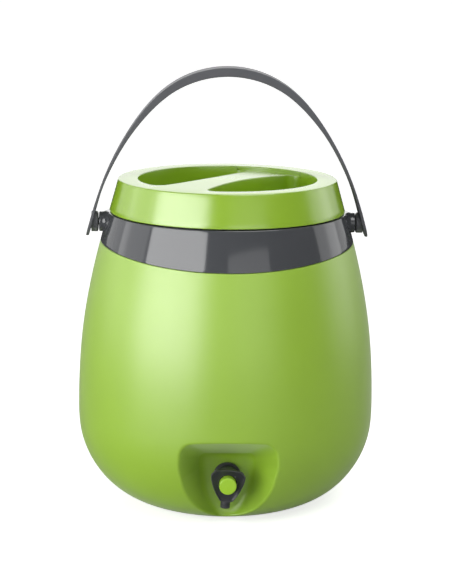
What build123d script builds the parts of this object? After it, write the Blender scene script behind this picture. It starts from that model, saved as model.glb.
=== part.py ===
from build123d import *
import math
import os

# Insulated drinks jug with a screw lid, a swinging bail handle and a push-button tap.
# Millimetres. Z is up with the origin on the ground below the jug's axis.
# The tap faces -Y and the handle's pivots lie on the X axis's two sides.

# ---- body ----
SIDE_POINTS = [  # radius and height of the outer side, from the base to the lid's lower edge
    (88.0, 1.5), (106.7, 10), (131.3, 35), (144.0, 66), (146.0, 98),
    (141.5, 170), (130.6, 230), (115.1, 286.1),
]
SIDE_STEPS = 16          # points taken along the side when it is moved inward
SHELL_WALL = 3.0
NECK_STEP_Z = 236.0      # above this the outer shell steps inward behind the collar
NECK_LIP_TOP = 279.3
LINER_GAP = 15.0         # outer surface to the liner's outer face
LINER_NICHE_GAP = 8.8    # niche surface to the liner's outer face
LINER_WALL = 2.5
LINER_SHOULDER_Z = 232.0
SHOULDER_OUT, SHOULDER_MID_Z = 9.0, 253.0   # a point on the curve from the side to the neck
NECK_R = 93.0            # inside of the liner's neck
NECK_START_Z = 266.0
LINER_TOP = 281.9
FLANGE_T, LINER_FLANGE_R = 2.5, 112.6
SLIP = 0.2               # gap left between nested curved pieces of one body
FOAM_LOW, FOAM_HIGH = 6.8, 262.0

# ---- base ----
BASE_HOLE_R = 78.0
CAP_LOW, CAP_HIGH = 1.9, 4.5
CAP_LIP_R, CAP_LIP_T = 83.0, 2.0
FILL_HOLE_R, FILL_HEAD_R = 10.0, 13.0
FILL_HEAD_T = 1.2
FOOT_COUNT, FOOT_R, FOOT_PITCH_R = 6, 9.0, 66.0
EASE = 0.6               # chamfer on small turned edges

# ---- collar ----
COLLAR_WALL = 3.0
COLLAR_TOP = 284.9
COLLAR_INNER_R = 103.0
WAVE_R, WAVE_LOW = 840.0, 247.0   # the lower edge is where a large cylinder along Y cuts the body
SEAM = 0.5
PIVOT_Z = 274.0
BOSS_R, BOSS_END_X = 9.75, 125.0
PIN_R, PIN_HEAD_R = 3.5, 4.7
RUN, SNUG = 0.06, 0.02   # radial clearance of a running fit and of a tight one
BOSS_ROOT_X, BOSS_FLARE_R, BOSS_FLARE_L = 113.0, 14.5, 8.0
PIN_HEAD_X, PIN_HEAD_T, PIN_END_X = 111.4, 2.0, 130.0
PIN_ROOM_X, PIN_ROOM = 112.0, (20.0, 24.0, 36.0)   # notch in the shell's neck behind each boss
COLLAR_TOP_R = 115.2
COLLAR_EDGE, PIVOT_EDGE = 0.8, 0.9

# ---- bail handle ----
BAIL_WIDTH = 27.0
LEG_END_R = 13.9
BAIL_OUTER = [(0, 424.9), (31.2, 420), (56.6, 407.4), (81.2, 384.2), (102.4, 353.3),
              (118.2, 322.1), (129.7, 290.5), (138.4, 259)]
BAIL_INNER = [(0, 416.4), (31.5, 411.2), (51.3, 402), (78.2, 378.8), (96.4, 355.6),
              (110.2, 332.2), (120.9, 308.6), (128.3, 285), (135.0, 261)]
BAIL_EDGE = 0.7
HUB_R, HUB_START_X, HUB_LENGTH = 10.0, 126.0, 6.5

# ---- lid ----
LID_LOW, LID_TOP = 286.1, 317.2
LID_LOW_R, LID_TOP_R = 115.1, 106.6
WELL_R, WELL_FLOOR = 87.4, 291.0
LID_WALL, LID_EDGE = 2.6, 1.0
WELL_GROW = 1.2          # share of the lid's wall left round the well where the grip falls away
ROOF_LOW_R, ROOF_TOP_R = 110.4, 102.9    # the hollow inside the lid's side wall, above the plug's flange
GRIP_ANGLE = 57.0        # the grip runs this far round from +X
GRIP_HALF, GRIP_FLARE = 16.2, 10.3   # half width at the middle, and what each end adds
GRIP_FLARE_R, GRIP_SIDE_R = 85.0, 99.4   # where the flare is measured and where the sides stop
GRIP_FLAT_END, GRIP_REAR, GRIP_DROP = -40.0, 90.4, 5.0
POCKET_CORNER = 10.0
PLUG_R, PLUG_WALL, PLUG_LOW, PLUG_EDGE = 90.4, 2.4, 270.5, 1.0
PLUG_FLANGE_R, PLUG_FLANGE_LOW, PLUG_FLANGE_HIGH = 111.8, 286.0, 288.4
THREAD_PITCH, THREAD_TURN, THREAD_LOW = 8.0, 300.0, 272.7
THREAD_ROOT, THREAD_TIP, THREAD_RISE, THREAD_SINK = 3.8, 2.6, 2.2, 0.35
SEAL_IN_R, SEAL_OUT_R, SEAL_LOW, SEAL_HIGH, SEAL_BEVEL = 94.6, 100.6, 282.3, 285.8, 1.2

# ---- tap niche ----
NICHE_Y = -95.5          # the niche's flat back
NICHE_HALF, NICHE_DROP, NICHE_MID_Z, NICHE_TOP = 24.5, 46.6, 54.0, 67.0
NICHE_FLARE = 0.5        # how much the niche widens per millimetre forward
NICHE_DEPTH = 60.0
NICHE_BEND_STEPS = 3     # sections that round the back's edge
NICHE_CORNER, NICHE_MOUTH_CORNER, NICHE_FILLET = 7.0, 16.0, 9.0

# ---- tap ----
TAP_Z, TAP_CLOCKING = 46.0, 4.0      # axis height, and the turn at which its nut was tightened
SHANK_R, SHANK_END_Y, BORE_R = 7.0, -73.0, 5.0
HOLE_R = 7.3
SLEEVE_R = 9.5
GASKET_R, OUTER_GASKET_T, INNER_GASKET_T = 12.6, 1.5, 2.0
FLANGE_R, FLANGE_FRONT_Y, FLANGE_THICK, FLANGE_EDGE = 13.2, -100.0, 3.0, 1.0
BARREL_R, PLATE_FRONT_Y, PLATE_T = 10.6, -125.0, 3.5
PLATE_HALF, PLATE_WING_Z = 16.3, 8.0           # the finger plate's outline, from the tap's axis
PLATE_TOP_HALF, PLATE_SHOULDER_Z, PLATE_TOP_Z = 12.5, 12.5, 13.8
PLATE_SIDE = [(PLATE_HALF, PLATE_WING_Z), (14.2, -2.0), (9.6, -11.5), (6.0, -17.0)]
PLATE_CORNER, PLATE_EDGE = 1.6, 0.7
BUTTON_R, BUTTON_BORE_R, BUTTON_FRONT_Y, BUTTON_BACK_Y = 8.1, 8.9, -131.7, -122.5
CHAMBER_Y = -117.5
BUTTON_WALL, BUTTON_ROOF, BUTTON_BOSS_R, BUTTON_EDGE = 1.6, 2.0, 3.6, 0.9
NOZZLE_Y, NOZZLE_R, NOZZLE_BORE_R, NOZZLE_DROP = -109.5, 4.6, 3.3, 27.8
STEM_R, STEM_HEAD_R, STEM_HEAD_T, STEM_FRONT_Y = 2.0, 3.2, 1.6, -129.0
VALVE_R, VALVE_T = 6.4, 3.0
NUT_ACROSS, NUT_T = 22.0, 6.5
SPRING_R, SPRING_WIRE_R, SPRING_TURNS, SPRING_BACK_Y, SPRING_FRONT_Y = 4.5, 0.4, 6, -117.9, -129.3
GUIDE_T, RING_SECTION_R = 1.6, 1.45
CONTACT = 0.05           # gap kept where a moving face rests on a fixed one

TILL = 1000.0            # larger than the object in every direction
LAP, PAST = 1.0, 5.0     # how far joined solids overlap, and cutters run past what they cut


def slab(low, high):
    """Everything between two heights."""
    return Pos(0, 0, (low + high) / 2) * Box(TILL, TILL, high - low)


def rod_x(radius, start, end):
    """A cylinder along X at the pivot's height."""
    return Pos((start + end) / 2, 0, PIVOT_Z) * Rot(0, 90, 0) * Cylinder(radius, abs(end - start))


def rod_y(radius, start, end):
    """A cylinder along Y on the tap's own axis, which is at the origin while the tap is built."""
    return Pos(0, (start + end) / 2, 0) * Rot(90, 0, 0) * Cylinder(radius, abs(end - start))


def turned(points):
    """A solid of revolution about Z from a closed outline of (radius, height) points."""
    outline = Polyline([(r, 0, z) for r, z in points], close=True)
    return revolve(Face(Wire(outline.edges())), Axis.Z)


def side_points(inset):
    """Points of the side curve moved inward along its normal."""
    side = Spline([(r, 0, z) for r, z in SIDE_POINTS])
    moved = []
    for step in range(SIDE_STEPS + 1):
        place, along = side @ (step / SIDE_STEPS), side % (step / SIDE_STEPS)
        moved.append((place.X - inset * along.Z, 0, place.Z + inset * along.X))
    return moved


def turned_about_axis(curve):
    """Revolve the area between Z and a curve that rises from the base."""
    low, high = curve @ 0, curve @ 1
    rest = Polyline([high, (0, 0, high.Z), (0, 0, low.Z), low])
    return revolve(Face(Wire(curve.edges() + rest.edges())), Axis.Z)


def body_core(inset):
    """The whole body as one solid, this much smaller than its outer surface."""
    if inset == 0:
        return turned_about_axis(Spline([(r, 0, z) for r, z in SIDE_POINTS]))
    return turned_about_axis(Spline(side_points(inset)))


def liner_core(inset, neck_r):
    """The liner's outer or inner shape: the body's side, a shoulder and a straight neck."""
    lower = [point for point in side_points(inset) if point[2] < LINER_SHOULDER_Z]
    shoulder = [(neck_r + SHOULDER_OUT, 0, SHOULDER_MID_Z), (neck_r, 0, NECK_START_Z)]
    curve = Spline(lower + shoulder)
    neck = Line(curve @ 1, (neck_r, 0, LINER_TOP + LAP))
    rest = Polyline([neck @ 1, (0, 0, LINER_TOP + LAP), (0, 0, lower[0][2]), lower[0]])
    return revolve(Face(Wire(curve.edges() + neck.edges() + rest.edges())), Axis.Z)


def facing(y):
    """A drawing plane that faces the front, X to the right and Z up."""
    return Plane(origin=(0, y, 0), x_dir=(1, 0, 0), z_dir=(0, -1, 0))


def corner_middle(side, top, corner):
    """The middle point of a rounded upper corner."""
    reach = corner * (1 - math.sqrt(0.5))
    return (side - math.copysign(reach, side), top - reach)


def niche_outline(y, spread, corner):
    """The niche's section: a half ellipse below, a rounded straight top above."""
    half, top = NICHE_HALF + spread, NICHE_TOP + spread
    pieces = [
        EllipticalCenterArc((0, NICHE_MID_Z), half, NICHE_DROP + spread, 180, arc_size=180),
        Line((half, NICHE_MID_Z), (half, top - corner)),
        ThreePointArc((half, top - corner), corner_middle(half, top, corner), (half - corner, top)),
        Line((half - corner, top), (corner - half, top)),
        ThreePointArc((corner - half, top), corner_middle(-half, top, corner), (-half, top - corner)),
        Line((-half, top - corner), (-half, NICHE_MID_Z)),
    ]
    edges = [edge for piece in pieces for edge in piece.edges()]
    return facing(y) * Face(Wire(edges))


def niche_cutter(grow):
    """The flared hollow round the tap, grown on every side for the walls behind it."""
    sideways = grow * (math.hypot(1, NICHE_FLARE) - NICHE_FLARE)
    bend = math.pi / 2 - math.atan(NICHE_FLARE)
    start = -NICHE_FILLET * math.tan(bend / 2)
    rounded = []
    for step in range(NICHE_BEND_STEPS + 1):
        angle = bend * step / NICHE_BEND_STEPS
        forward, spread = NICHE_FILLET * (1 - math.cos(angle)), start + NICHE_FILLET * math.sin(angle)
        rounded.append(niche_outline(NICHE_Y + grow - forward, sideways + spread, NICHE_CORNER))
    mouth_spread = sideways + NICHE_FLARE * NICHE_DEPTH
    mouth = niche_outline(NICHE_Y + grow - NICHE_DEPTH, mouth_spread, NICHE_MOUTH_CORNER)
    return loft(rounded) + loft([rounded[-1], mouth], ruled=True)


def collar_zone(raise_by=0.0):
    """Everything above the collar's wavy lower edge."""
    roll = Pos(0, 0, WAVE_LOW + raise_by + WAVE_R) * Rot(90, 0, 0) * Cylinder(WAVE_R, TILL)
    return roll & slab(NECK_STEP_Z, COLLAR_TOP)


def on_tap_axis(piece):
    """Move a tap piece from the origin's axis to its place on the jug."""
    return Pos(0, 0, TAP_Z) * Rot(0, TAP_CLOCKING, 0) * piece


def make_outer_shell():
    hollow = body_core(SHELL_WALL) & slab(0, NECK_STEP_Z)
    neck_inset = COLLAR_WALL + SLIP + SHELL_WALL
    hollow += body_core(neck_inset) & slab(NECK_STEP_Z - LAP, TILL)
    shell = body_core(0) & slab(0, NECK_LIP_TOP)
    shell -= collar_zone() - body_core(COLLAR_WALL + SLIP)
    niche = niche_cutter(0)
    shell = (shell - niche) - (hollow - niche_cutter(SHELL_WALL))
    shell -= Cylinder(BASE_HOLE_R, 2 * (CAP_HIGH + PAST))
    shell -= on_tap_axis(rod_y(HOLE_R, NICHE_Y - PAST, NICHE_Y + SHELL_WALL + PAST))
    for side in (-1, 1):
        shell -= Pos(side * PIN_ROOM_X, 0, NECK_LIP_TOP) * Box(*PIN_ROOM)
    return shell


def make_base_cap():
    disc_r, top = BASE_HOLE_R - SLIP, CAP_HIGH + CAP_LIP_T
    return turned([(FILL_HOLE_R, CAP_LOW), (disc_r, CAP_LOW), (disc_r, CAP_HIGH), (CAP_LIP_R, CAP_HIGH),
                   (CAP_LIP_R, top), (FILL_HOLE_R, top)])


def make_foam_fill_plug():
    shaft_r, head_low = FILL_HOLE_R - RUN, CAP_LOW - FILL_HEAD_T
    return turned([(0, head_low), (FILL_HEAD_R - EASE, head_low), (FILL_HEAD_R, head_low + EASE),
                   (FILL_HEAD_R, CAP_LOW), (shaft_r, CAP_LOW), (shaft_r, CAP_HIGH + CAP_LIP_T),
                   (0, CAP_HIGH + CAP_LIP_T)])


def make_foot_pads():
    pad = turned([(0, 0), (FOOT_R - EASE, 0), (FOOT_R, EASE), (FOOT_R, CAP_LOW), (0, CAP_LOW)])
    return Compound([Rot(0, 0, 360 * (i + 0.5) / FOOT_COUNT) * Pos(FOOT_PITCH_R, 0, 0) * pad
                     for i in range(FOOT_COUNT)])


def make_foam_insulation():
    foam = body_core(SHELL_WALL + SLIP) & slab(FOAM_LOW, NECK_STEP_Z - SLIP)
    neck_inset = COLLAR_WALL + SHELL_WALL + 2 * SLIP
    foam += body_core(neck_inset) & slab(NECK_STEP_Z - LAP, FOAM_HIGH)
    foam -= niche_cutter(SHELL_WALL + SLIP)
    room = liner_core(LINER_GAP - SLIP, NECK_R + LINER_WALL + SLIP)
    foam -= room - niche_cutter(LINER_NICHE_GAP - SLIP)
    return foam - on_tap_axis(rod_y(SLEEVE_R + SLIP, NICHE_Y, NICHE_Y + LINER_NICHE_GAP + PAST))


def make_inner_liner():
    outside = liner_core(LINER_GAP, NECK_R + LINER_WALL) - niche_cutter(LINER_NICHE_GAP)
    outside &= slab(0, LINER_TOP)
    inside = liner_core(LINER_GAP + LINER_WALL, NECK_R) - niche_cutter(LINER_NICHE_GAP + LINER_WALL)
    liner = outside - inside
    liner += turned([(NECK_R, LINER_TOP - FLANGE_T), (LINER_FLANGE_R, LINER_TOP - FLANGE_T),
                     (LINER_FLANGE_R, LINER_TOP), (NECK_R, LINER_TOP)])
    liner += Rot(0, 0, 180) * thread_ridge(NECK_R + THREAD_SINK, -1)
    wall = NICHE_Y + LINER_NICHE_GAP
    return liner - on_tap_axis(rod_y(HOLE_R, wall - PAST, wall + LINER_WALL + PAST))


def thread_ridge(root_r, outward):
    """One turn-and-a-bit of coarse screw ridge; outward is 1 on the plug and -1 in the neck."""
    path = Helix(THREAD_PITCH, THREAD_PITCH * THREAD_TURN / 360, root_r)
    start = Plane(origin=path @ 0, x_dir=(outward, 0, 0), z_dir=path % 0)
    root, tip = THREAD_ROOT / 2, THREAD_TIP / 2
    ridge = start * Polygon((0, -root), (THREAD_RISE, -tip), (THREAD_RISE, tip), (0, root), align=None)
    return Pos(0, 0, THREAD_LOW) * sweep(ridge, path=path, is_frenet=True)


def circles_outward(piece):
    """A pivot piece's round edges, from the innermost to the outermost."""
    return piece.edges().filter_by(GeomType.CIRCLE).sort_by(lambda edge: abs(edge.center().X))


def make_collar_band():
    band = (body_core(0) - body_core(COLLAR_WALL)) & collar_zone(SEAM)
    band += turned([(COLLAR_INNER_R, LINER_TOP), (COLLAR_INNER_R, COLLAR_TOP - COLLAR_EDGE),
                    (COLLAR_INNER_R + COLLAR_EDGE, COLLAR_TOP), (COLLAR_TOP_R, COLLAR_TOP),
                    (COLLAR_TOP_R, LINER_TOP)])
    inside = body_core(COLLAR_WALL)
    for side in (-1, 1):
        boss = rod_x(BOSS_R, side * BOSS_ROOT_X, side * BOSS_END_X)
        boss = chamfer(circles_outward(boss)[-1], PIVOT_EDGE)
        root = Pos(side * (BOSS_ROOT_X + BOSS_FLARE_L / 2), 0, PIVOT_Z) * Rot(0, side * 90, 0)
        root *= Cone(BOSS_FLARE_R, BOSS_R, BOSS_FLARE_L)
        band += (boss + root) - (inside & slab(0, LINER_TOP))
        band -= rod_x(PIN_R + RUN, side * (BOSS_ROOT_X - PAST), side * (BOSS_END_X + LAP))
    return band & slab(0, COLLAR_TOP)


def mirrored(points):
    """A left-right symmetric run of points from a list that starts on the centre plane."""
    return [(-x, z) for x, z in reversed(points[1:])] + list(points)


def make_bail_handle():
    outer = Spline([(x, 0, z) for x, z in mirrored(BAIL_OUTER)])
    inner = Spline([(x, 0, z) for x, z in mirrored(BAIL_INNER)])
    ends = Line(outer @ 0, inner @ 0).edges() + Line(outer @ 1, inner @ 1).edges()
    strap = extrude(Face(Wire(outer.edges() + inner.edges() + ends)), BAIL_WIDTH / 2, both=True)
    rounded = slab(PIVOT_Z, TILL) + rod_x(LEG_END_R, -TILL, TILL)
    strap &= rounded
    strap = fillet(strap.edges().filter_by(lambda edge: edge.length > LEG_END_R), BAIL_EDGE)
    for side in (-1, 1):
        hub = rod_x(HUB_R, side * HUB_START_X, side * (HUB_START_X + HUB_LENGTH))
        hub = chamfer(circles_outward(hub)[0], PIVOT_EDGE)
        strap += hub
        strap -= rod_x(PIN_R + SNUG, side * (HUB_START_X - LAP), side * PIN_END_X)
    return strap


def make_pivot_pins():
    pins = []
    for side in (-1, 1):
        pin = rod_x(PIN_R, side * PIN_HEAD_X, side * PIN_END_X)
        pin += rod_x(PIN_HEAD_R, side * PIN_HEAD_X, side * (PIN_HEAD_X + PIN_HEAD_T))
        pins.append(pin)
    return Compound(pins)


def pocket_faces(grow):
    """The two finger pockets' outlines: the round well less the waisted grip between them."""
    middle = GRIP_HALF - grow
    wide = middle + GRIP_FLARE * (GRIP_SIDE_R / GRIP_FLARE_R) ** 2
    sides = [ThreePointArc((-GRIP_SIDE_R, side * wide), (0, side * middle), (GRIP_SIDE_R, side * wide))
             for side in (-1, 1)]
    ends = [Line(sides[0] @ end, sides[1] @ end) for end in (0, 1)]
    grip = Face(Wire([edge for piece in sides + ends for edge in piece.edges()]))
    pockets = Circle(WELL_R + grow) - grip
    pockets = fillet(pockets.vertices(), POCKET_CORNER + grow)
    return Rot(0, 0, GRIP_ANGLE) * pockets


def pockets(grow, floor):
    """The finger pockets as solids down to a floor."""
    return Pos(0, 0, floor) * extrude(pocket_faces(grow), LID_TOP + LAP - floor)


def grip_top(lower_by):
    """Everything above the grip's top, which falls away in an arc towards its rear end."""
    top, roof = LID_TOP - lower_by, LID_TOP + PAST
    middle = (GRIP_FLAT_END + GRIP_REAR) / 2
    curve = ThreePointArc((GRIP_FLAT_END, top), (middle, top - GRIP_DROP / 4), (GRIP_REAR, top - GRIP_DROP))
    rest = Polyline([(GRIP_REAR, top - GRIP_DROP), (GRIP_REAR, roof), (-GRIP_REAR, roof), (-GRIP_REAR, top),
                     (GRIP_FLAT_END, top)])
    outline = Face(Wire(curve.edges() + rest.edges()))
    raised = Rot(0, 0, GRIP_ANGLE) * extrude(Plane.XZ * outline, WELL_R, both=True)
    return raised & Cylinder(WELL_R + lower_by * WELL_GROW, TILL)


def make_lid_shell():
    height = LID_TOP - LID_LOW
    lid = Pos(0, 0, LID_LOW + height / 2) * Cone(LID_LOW_R, LID_TOP_R, height)
    lid = fillet(lid.edges().sort_by(Axis.Z)[-1], LID_EDGE)
    lid -= pockets(0, WELL_FLOOR) + grip_top(0)
    roof = LID_TOP - LID_WALL
    inner = Pos(0, 0, (PLUG_FLANGE_HIGH + roof) / 2) * Cone(ROOF_LOW_R, ROOF_TOP_R, roof - PLUG_FLANGE_HIGH)
    inner -= pockets(LID_WALL, WELL_FLOOR - LID_WALL) + grip_top(LID_WALL)
    below = Pos(0, 0, (LID_LOW + PLUG_FLANGE_HIGH) / 2) * Cylinder(
        PLUG_FLANGE_R + SLIP, PLUG_FLANGE_HIGH - LID_LOW)
    return lid - inner - below


def make_lid_plug():
    inner_r, floor = PLUG_R - PLUG_WALL, PLUG_LOW + PLUG_WALL
    plug = turned([(0, PLUG_LOW), (PLUG_R - PLUG_EDGE, PLUG_LOW), (PLUG_R, PLUG_LOW + PLUG_EDGE),
                   (PLUG_R, PLUG_FLANGE_LOW), (PLUG_FLANGE_R, PLUG_FLANGE_LOW),
                   (PLUG_FLANGE_R, PLUG_FLANGE_HIGH), (inner_r, PLUG_FLANGE_HIGH), (inner_r, floor),
                   (0, floor)])
    return plug + thread_ridge(PLUG_R - THREAD_SINK, 1)


def make_lid_foam():
    radius, low = PLUG_R - PLUG_WALL - SLIP, PLUG_LOW + PLUG_WALL
    return turned([(0, low), (radius, low), (radius, PLUG_FLANGE_HIGH), (0, PLUG_FLANGE_HIGH)])


def make_lid_seal():
    lip = (SEAL_OUT_R - SEAL_IN_R) / 3
    return turned([(SEAL_IN_R, SEAL_LOW + SEAL_BEVEL), (SEAL_IN_R + lip, SEAL_LOW),
                   (SEAL_OUT_R - lip, SEAL_LOW), (SEAL_OUT_R, SEAL_LOW + SEAL_BEVEL),
                   (SEAL_OUT_R, SEAL_HIGH), (SEAL_IN_R, SEAL_HIGH)])


def plate_side(hand):
    """One swept side of the finger plate, from its wing down to its foot."""
    return Spline([(hand * x, z) for x, z in PLATE_SIDE], tangents=[(hand * 0.02, -1), (-hand * 0.7, -1)])


def finger_plate():
    """The tap's winged plate: an arched top, swept sides and a narrow foot."""
    right, left = plate_side(1), plate_side(-1)
    shoulder_right = (PLATE_TOP_HALF, PLATE_SHOULDER_Z)
    shoulder_left = (-PLATE_TOP_HALF, PLATE_SHOULDER_Z)
    top = ThreePointArc(shoulder_left, (0, PLATE_TOP_Z), shoulder_right)
    shoulders = [Line(top @ 1, right @ 0), Line(top @ 0, left @ 0), Line(right @ 1, left @ 1)]
    edges = [edge for piece in [top, right, left] + shoulders for edge in piece.edges()]
    plate = extrude(facing(PLATE_FRONT_Y) * Face(Wire(edges)), PLATE_T, dir=(0, 1, 0))
    plate = fillet(plate.edges().filter_by(Axis.Y), PLATE_CORNER)
    return fillet(plate.faces().sort_by(Axis.Y)[0].edges(), PLATE_EDGE)


def make_tap_body():
    back = FLANGE_FRONT_Y + FLANGE_THICK
    body = rod_y(FLANGE_R, FLANGE_FRONT_Y, back)
    body = fillet(body.edges().sort_by(Axis.Y)[0], FLANGE_EDGE)
    body += rod_y(SHANK_R, back, SHANK_END_Y) + rod_y(BARREL_R, PLATE_FRONT_Y + LAP, FLANGE_FRONT_Y)
    body += finger_plate()
    body += Pos(0, NOZZLE_Y, -NOZZLE_DROP / 2) * Cylinder(NOZZLE_R, NOZZLE_DROP)
    body -= Pos(0, NOZZLE_Y, -NOZZLE_DROP / 2 - LAP) * Cylinder(NOZZLE_BORE_R, NOZZLE_DROP + 2 * LAP)
    body -= rod_y(BORE_R, CHAMBER_Y - LAP, SHANK_END_Y + LAP)
    body -= rod_y(BUTTON_BORE_R, PLATE_FRONT_Y - LAP, CHAMBER_Y)
    return body


def make_tap_outer_gasket():
    ring = rod_y(GASKET_R, NICHE_Y - OUTER_GASKET_T, NICHE_Y)
    return ring - rod_y(HOLE_R, NICHE_Y - PAST, NICHE_Y + PAST)


def make_tap_inner_gasket():
    wall = NICHE_Y + LINER_NICHE_GAP + LINER_WALL
    return rod_y(GASKET_R, wall, wall + INNER_GASKET_T) - rod_y(HOLE_R, wall - PAST, wall + PAST)


def make_tap_wall_sleeve():
    near, far = NICHE_Y + SHELL_WALL, NICHE_Y + LINER_NICHE_GAP
    return rod_y(SLEEVE_R, near, far) - rod_y(HOLE_R, near - LAP, far + LAP)


def make_tap_nut():
    near = NICHE_Y + LINER_NICHE_GAP + LINER_WALL + INNER_GASKET_T
    outline = RegularPolygon(NUT_ACROSS / 2, 6, major_radius=False)
    nut = extrude(facing(near) * outline, NUT_T, dir=(0, 1, 0))
    nut = chamfer(nut.edges().filter_by(Axis.Y, reverse=True), EASE)
    return nut - rod_y(SHANK_R + SNUG, near - LAP, near + NUT_T + LAP)


def make_tap_button():
    button = rod_y(BUTTON_R, BUTTON_FRONT_Y, BUTTON_BACK_Y)
    button = fillet(button.edges().sort_by(Axis.Y)[0], BUTTON_EDGE)
    roof = BUTTON_FRONT_Y + BUTTON_ROOF
    hollow = rod_y(BUTTON_R - BUTTON_WALL, roof, BUTTON_BACK_Y + LAP)
    hollow -= rod_y(BUTTON_BOSS_R, roof, BUTTON_BACK_Y - LAP)
    return button - hollow - rod_y(STEM_R + SNUG, STEM_FRONT_Y, BUTTON_BACK_Y + LAP)


def make_tap_stem():
    head = SHANK_END_Y + VALVE_T
    return rod_y(STEM_R, STEM_FRONT_Y, head) + rod_y(STEM_HEAD_R, head, head + STEM_HEAD_T)


def make_tap_valve():
    seat = SHANK_END_Y + CONTACT
    disc = rod_y(VALVE_R, seat, SHANK_END_Y + VALVE_T)
    return disc - rod_y(STEM_R + SNUG, seat - LAP, seat + VALVE_T + LAP)


def make_stem_guide():
    disc = rod_y(BORE_R - SNUG, CHAMBER_Y, CHAMBER_Y + GUIDE_T)
    return disc - rod_y(STEM_R + RUN, CHAMBER_Y - LAP, CHAMBER_Y + GUIDE_T + LAP)


def make_stem_ring():
    middle = (BORE_R + STEM_R) / 2
    ring = Rot(90, 0, 0) * Torus(middle, RING_SECTION_R - SNUG)
    return Pos(0, CHAMBER_Y + GUIDE_T + RING_SECTION_R, 0) * ring


def make_tap_spring():
    length = SPRING_BACK_Y - SPRING_FRONT_Y
    path = Helix(length / SPRING_TURNS, length, SPRING_R)
    wire = Plane(origin=path @ 0, x_dir=(1, 0, 0), z_dir=path % 0) * Circle(SPRING_WIRE_R)
    return Pos(0, SPRING_BACK_Y, 0) * Rot(90, 0, 0) * sweep(wire, path=path, is_frenet=True)


UPRIGHT_PARTS = {
    "outer_shell": make_outer_shell, "base_cap": make_base_cap, "foam_fill_plug": make_foam_fill_plug,
    "foot_pads": make_foot_pads, "foam_insulation": make_foam_insulation, "inner_liner": make_inner_liner,
    "collar_band": make_collar_band, "bail_handle": make_bail_handle, "pivot_pins": make_pivot_pins,
    "lid_shell": make_lid_shell, "lid_plug": make_lid_plug, "lid_foam": make_lid_foam,
    "lid_seal": make_lid_seal,
}
TAP_PARTS = {
    "tap_body": make_tap_body, "tap_outer_gasket": make_tap_outer_gasket,
    "tap_inner_gasket": make_tap_inner_gasket, "tap_wall_sleeve": make_tap_wall_sleeve,
    "tap_nut": make_tap_nut, "tap_button": make_tap_button, "tap_stem": make_tap_stem,
    "tap_valve": make_tap_valve, "stem_guide": make_stem_guide, "stem_ring": make_stem_ring,
    "tap_spring": make_tap_spring,
}

os.makedirs("parts", exist_ok=True)
for name, make in UPRIGHT_PARTS.items():
    export_step(make(), f"parts/{name}.step")
for name, make in TAP_PARTS.items():
    export_step(on_tap_axis(make()), f"parts/{name}.step")
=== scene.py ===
import math
import bmesh
import bpy
import numpy as np
from mathutils import Matrix, Vector, geometry


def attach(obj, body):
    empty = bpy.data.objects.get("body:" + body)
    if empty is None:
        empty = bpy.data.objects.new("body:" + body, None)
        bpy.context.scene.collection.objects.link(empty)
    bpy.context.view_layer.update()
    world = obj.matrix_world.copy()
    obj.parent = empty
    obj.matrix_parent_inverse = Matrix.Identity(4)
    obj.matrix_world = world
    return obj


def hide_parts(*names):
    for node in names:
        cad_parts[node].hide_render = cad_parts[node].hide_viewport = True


# Looks of an insulated drinks jug: smooth moulded skins over the fixed CAD frame, their plastics,
# the studio and the camera. Metres, Z up, the tap faces -Y and the handle's pivots lie on X.

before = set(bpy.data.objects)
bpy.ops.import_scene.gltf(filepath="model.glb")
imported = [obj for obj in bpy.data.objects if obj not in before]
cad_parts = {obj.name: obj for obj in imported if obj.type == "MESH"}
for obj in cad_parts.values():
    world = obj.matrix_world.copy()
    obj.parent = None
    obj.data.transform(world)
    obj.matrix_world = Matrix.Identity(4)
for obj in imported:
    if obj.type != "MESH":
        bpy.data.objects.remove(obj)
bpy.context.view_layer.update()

# ---- sizes of the moulded skins, in metres ----
SIDE = [(0.0880, 0.0015), (0.1067, 0.010), (0.1313, 0.035), (0.1440, 0.066), (0.1460, 0.098),
        (0.1415, 0.170), (0.1306, 0.230), (0.1151, 0.2861)]
SHELL_WALL = 0.0024
BASE_HOLE_R = 0.078
WAVE_R, WAVE_LOW, SEAM = 0.840, 0.247, 0.0005
LEDGE, NECK_TOP = 0.0032, 0.2793
COLLAR_WALL, COLLAR_TOP, COLLAR_INNER_R = 0.003, 0.2849, 0.103
PIVOT_Z = 0.274
LID_LOW, LID_TOP, LID_LOW_R, LID_TOP_R = 0.2861, 0.3172, 0.1151, 0.1066
LID_SOLE, LID_SOLE_R = 0.28848, 0.1120
WELL_R, WELL_FLOOR = 0.0874, 0.291
GRIP_TURN, GRIP_HALF, GRIP_ARC_R, POCKET_CORNER = math.radians(57), 0.0162, 0.3574, 0.010
GRIP_FLAT_END, GRIP_FAR_END, GRIP_DROP = -0.040, 0.0904, 0.005
NICHE_Y, NICHE_HALF, NICHE_TOP, NICHE_MID_Z, NICHE_DROP = -0.0955, 0.0245, 0.067, 0.054, 0.0466
NICHE_FLARE, NICHE_DEPTH, NICHE_FILLET = 0.5, 0.060, 0.009
NICHE_CORNER, NICHE_MOUTH_CORNER = 0.007, 0.016
TAP_Z, TAP_TURN, TAP_HOLE_R = 0.046, math.radians(4), 0.0073


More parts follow.
